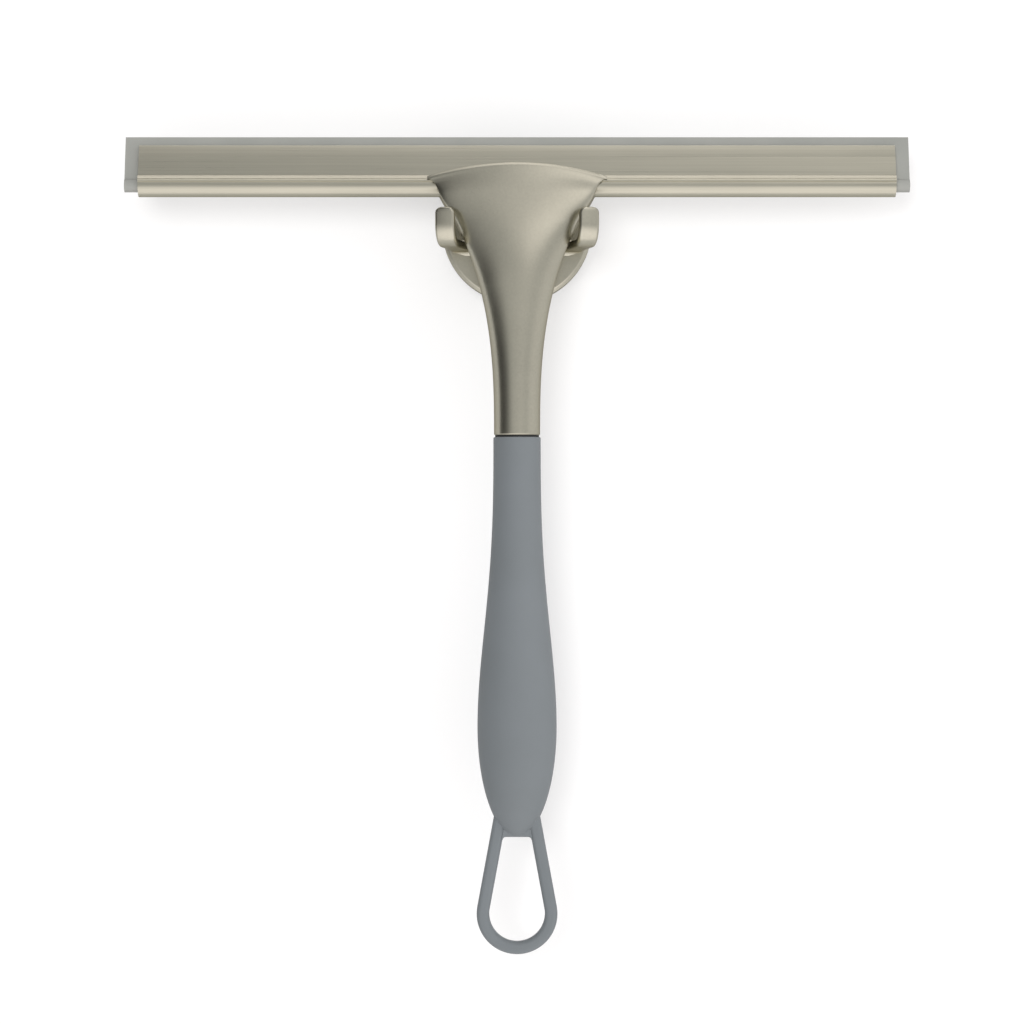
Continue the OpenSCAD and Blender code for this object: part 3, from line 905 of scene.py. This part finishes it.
STRAND = strand_tree()
loop_mesh = run_tree("loop", path_mesh("loop", loop_path()), STRAND, {
    "Width": STRAND_W * MM, "Thickness": LOOP_T * MM, "Corner": LOOP_CORNER * MM,
    "Material": FINISHES["soft_grip"]})
place("loop_strand", loop_mesh, "hang_loop", sharp=60)

# %% [markdown]
# Between the two arms, just under the grip, the moulding is closed by a web whose lower corners
# are hollow. Its outline repeats at several depths, a little shorter at the two faces, so that
# its lower edge is round.

# %% Web between the arms
WEB_CORNER = 1.1
WEB_T = 4.0
WEB_LAP = 0.25
WEB_ROUND = 0.6


def web_outline(inset):
    path = loop_path()
    (x_top, _, z_top), (x_low, _, z_low) = path[0], path[11]
    lean = (x_low - x_top) / (z_low - z_top)
    low = GRIP_END + inset

    def arm(z):
        return abs(x_top + (z - z_top) * lean) - STRAND_W / 2 + WEB_LAP

    points = [(arm(z_top), z_top), (arm(low - WEB_CORNER * 0.9), low - WEB_CORNER * 0.9)]
    edge = arm(low) - WEB_CORNER * 1.15
    points += [(edge + WEB_CORNER * math.cos(a), low - WEB_CORNER * (1 - math.sin(a)))
               for a in np.linspace(0.1, math.pi / 2, 8)]
    return points + [(-x, z) for x, z in reversed(points)]


def web_rings():
    rings = []
    for turn in np.linspace(-1, 1, 13) * math.pi / 2:
        inset = WEB_ROUND * (1 - math.cos(turn))
        depth = HANDLE_Y + WEB_T / 2 * math.sin(turn)
        rings.append([(x, depth, z) for x, z in web_outline(inset)])
    return rings


place("loop_web", make_mesh("loop_web", *loft(web_rings())), "hang_loop", sharp=60)

# %% [markdown]
# ## The hook
#
# The cap is turned, so its section is spun about the hook's axis. Each prong is a strip that
# leaves the cap, turns up and ends in a rounded tab. Its width narrows round the tab's corners
# and its root swells into the cap, as a casting's fillet does, so the strip is lofted ring by
# ring along its path and not swept with one section.

# %% Turned pieces
def lathe(outline, around=96):
    """Spins [radius, distance from the wall] about the hook's axis; ends on the axis close."""
    rings = []
    for a in np.linspace(0, 2 * math.pi, around, endpoint=False):
        rings.append([(r * math.cos(a), -d, r * math.sin(a)) for r, d in outline])
    points = [p for ring in rings for p in ring]
    count = len(outline)
    faces = []
    for row in range(around):
        for i in range(count - 1):
            a, b = row * count + i, ((row + 1) % around) * count + i
            faces.append((a, a + 1, b + 1, b))
    return points, faces


plate_low, plate_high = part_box("hook_plate")
CAP_R = (plate_high.z - plate_low.z) / 2 / MM
CAP_FRONT = 11.0
CAP_BACK = -plate_high.y / MM
CAP_WALL = 2.0
CAP_BEVEL = 1.1
BOSS_R = 7.5
BOSS_WALL = 1.6
BOSS_BACK = 6.0


def cap_outline():
    inner = CAP_FRONT - CAP_WALL
    return rounded([(0, CAP_FRONT), (CAP_R - CAP_BEVEL, CAP_FRONT), (CAP_R, CAP_FRONT - CAP_BEVEL),
                    (CAP_R, CAP_BACK), (CAP_R - CAP_WALL, CAP_BACK), (CAP_R - CAP_WALL, inner),
                    (BOSS_R + BOSS_WALL, inner), (BOSS_R + BOSS_WALL, BOSS_BACK),
                    (BOSS_R, BOSS_BACK), (BOSS_R, inner), (0, inner)],
                   [0.7, 0.5, 0.4, 0.4, 0.8, 0.6, 0.25, 0.25, 0.1], steps=6)


# %% Prongs
PRONG_W = 6.2
PRONG_T = 2.6
PRONG_SPLAY = math.radians(12)
PRONG_SEAT = 5.4
PRONG_TOP = 4.2
PRONG_BEND = 7.0
PRONG_CORNER = 2.0
PRONG_TIP = 0.7
PRONG_FILLET = 1.3
UPRIGHT = math.pi / 2
PRONG_REACH = -plate_low.y / MM
PRONG_OUT = plate_high.x / MM


def prong_path(run):
    """Middle line of a prong: [distance from the cap, height, turn of the strip]."""
    middle = PRONG_BEND - PRONG_T / 2
    low = -PRONG_SEAT - PRONG_T / 2
    path = [(d, low, 0.0) for d in np.linspace(-1.0, run - PRONG_BEND, 26)]
    for turn in np.linspace(0, UPRIGHT, 22)[1:]:
        path.append((run - PRONG_BEND + middle * math.sin(turn),
                     low + middle * (1 - math.cos(turn)), turn))
    straight = path[-1][1]
    path += [(run - PRONG_T / 2, straight + (PRONG_TOP - straight) * u, UPRIGHT)
             for u in 1 - (1 - np.linspace(0, 1, 22)[1:]) ** 1.6]
    return path


def strip_section(width, thick, corner, steps=6):
    """A rounded rectangle [across, through], starting at a flat side."""
    points = []
    for sx, sy, start in ((1, 1, 0), (-1, 1, 90), (-1, -1, 180), (1, -1, 270)):
        centre = (sx * (width / 2 - corner), sy * (thick / 2 - corner))
        points += arc(centre, corner, start, start + 90, steps)
    return points


def corner_loss(radius, below):
    """How far a rounded corner has drawn in at a depth below its end."""
    if below >= radius:
        return 0.0
    return radius - math.sqrt(max(0.0, radius ** 2 - (radius - below) ** 2))


def prong_rings(side, root_x, run):
    rings = []
    out = (math.sin(PRONG_SPLAY) * side, -math.cos(PRONG_SPLAY))
    across = (math.cos(PRONG_SPLAY), math.sin(PRONG_SPLAY) * side)
    for distance, height, turn in prong_path(run):
        width, thick = PRONG_W, PRONG_T
        if turn == UPRIGHT:
            width -= 2 * corner_loss(PRONG_CORNER, PRONG_TOP - height)
            # a little thickness is left at the very end, so that its cap has an area
            thick -= 2 * corner_loss(PRONG_TIP, PRONG_TOP - height) * 0.98
        if turn == 0.0:
            grow = corner_loss(PRONG_FILLET, max(distance, 0))
            width += 2 * grow
            thick += 2 * grow
        corner = min(0.85, 0.49 * min(width, thick))
        ring = []
        for u, v in strip_section(width, thick, corner):
            # v points up on the arm and back towards the cap on the tab
            d = distance - v * math.sin(turn)
            z = height + v * math.cos(turn)
            ring.append((root_x * side + out[0] * d + across[0] * u,
                         -CAP_FRONT + out[1] * d + across[1] * u, z))
        rings.append(ring)
    return rings


def hook_mesh():
    points, faces = lathe(cap_outline())
    run = (PRONG_REACH - CAP_FRONT - PRONG_W / 2 * math.sin(PRONG_SPLAY)) / math.cos(PRONG_SPLAY)
    root_x = PRONG_OUT - PRONG_W / 2 * math.cos(PRONG_SPLAY) - run * math.sin(PRONG_SPLAY)
    for side in (-1, 1):
        more, more_faces = loft(prong_rings(side, root_x, run))
        shift = len(points)
        points += more
        faces += [tuple(i + shift for i in face) for face in more_faces]
    print("prong root", round(root_x, 2), "run", round(run, 2))
    return make_mesh("hook_casting", points, faces)


place("hook_casting", hook_mesh(), "hook_plate", sharp=40)

# %% [markdown]
# ## The suction cup
#
# The cup is moulded in clear soft vinyl: a thin rim, a shallow hollow behind it and a thick knob
# that holds the stud. It is a turned shape too.

# %% Suction cup
cup_low, cup_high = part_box("suction_cup")
CUP_R = (cup_high.x - cup_low.x) / 2 / MM
CUP_KNOB = -cup_low.y / MM
CUP_RIM = 7.5


def cup_outline():
    return rounded([(0, 1.2), (CUP_R - CUP_RIM, 0.02), (CUP_R, 0), (CUP_R, 0.8),
                    (CUP_R - CUP_RIM, 2.6), (9, 3.6), (7.5, CUP_KNOB), (0, CUP_KNOB)],
                   [6.0, 0.2, 0.3, 6.0, 2.0, 0.6], steps=7)


place("cup", make_mesh("cup", *lathe(cup_outline())), "suction_cup", sharp=40)

# %% [markdown]
# ## Plate, screws and spacer
#
# The clamp plate behind the channel is stamped, its screws are turned and the spacer between
# neck and grip is cut from a tube. None has a knife edge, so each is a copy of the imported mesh
# with its doubles merged and a small bevel on every edge.

# %% Bevelled copies
BEVEL_FROM = math.radians(28)


def bevelled(node, width):
    source = frame["nodes"][node]
    mesh = source.data.copy()
    mesh.transform(source.matrix_world)
    settle(mesh, sharp=20, merge=0.002)
    carrier = bpy.data.objects.new(node, mesh)
    SCENE.collection.objects.link(carrier)
    modifier = carrier.modifiers.new("edges", "BEVEL")
    modifier.width = width * MM
    modifier.segments = 3
    modifier.limit_method = "ANGLE"
    modifier.angle_limit = BEVEL_FROM
    bpy.context.view_layer.update()
    shown = carrier.evaluated_get(bpy.context.evaluated_depsgraph_get())
    result = bpy.data.meshes.new_from_object(shown)
    bpy.data.objects.remove(carrier)
    place("soft_edged_" + node, result, node, sharp=35)


for node, width in (("rear_clamp", 0.3), ("clamp_screws", 0.08), ("neck_collar", 0.1)):
    bevelled(node, width)

# %% [markdown]
# ## What stays as it was packed
#
# The inner pieces and the plain turned ones already have their true shape, so they only get
# their finish.

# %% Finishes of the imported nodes
for name, node in frame["nodes"].items():
    if not node.hide_render:
        node.data.materials.clear()
        node.data.materials.append(FINISHES[SLOT_OF[name]])
        print("kept", name)
